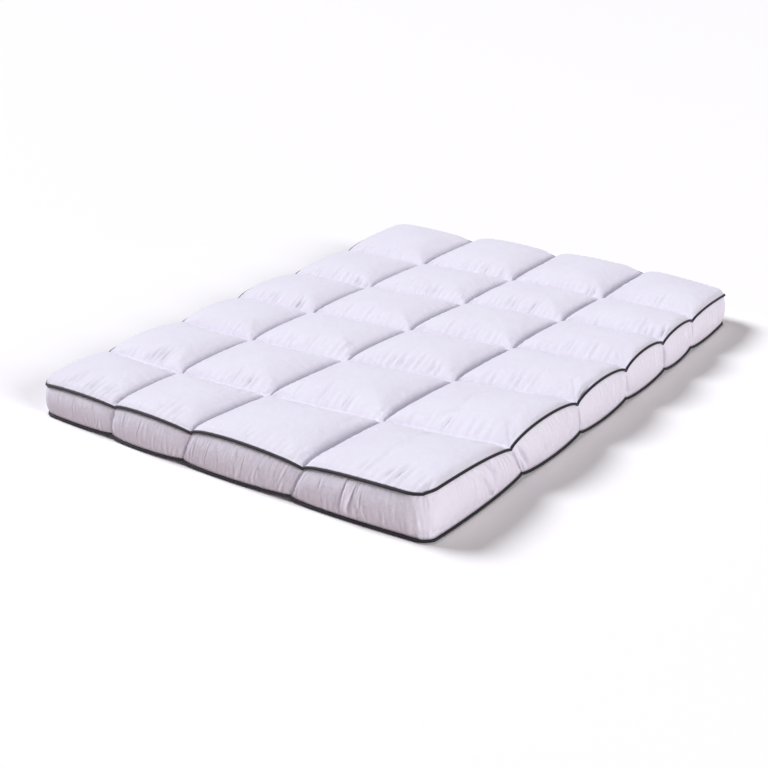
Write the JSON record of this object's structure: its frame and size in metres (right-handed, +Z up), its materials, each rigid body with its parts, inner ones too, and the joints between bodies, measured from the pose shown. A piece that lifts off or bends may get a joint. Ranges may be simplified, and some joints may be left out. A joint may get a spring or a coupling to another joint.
{
  "type": "mattress topper",
  "caption": "Soft filled mattress topper: box-quilted top with crowned boxes, a gathered gusset round its sides and dark piping along its top and bottom edges.",
  "frame": {"origin": "on the surface that the topper lies on, under the middle of its outline", "axes": "+X across the front edge towards its right end, +Y from the front edge to the back edge, +Z up"},
  "size_m": [1.6039, 2.1581, 0.1584],
  "materials": {
    "white_cotton": "closely woven matt white cotton with a slight soft sheen, puckered along its seams",
    "charcoal_binding": "matt charcoal cotton bias binding drawn tight over a cord"
  },
  "bodies": {
    "root": {"quilted_pad": "white_cotton", "gusset": "white_cotton", "piping_top": "charcoal_binding", "piping_bottom": "charcoal_binding"}
  },
  "joints": []
}
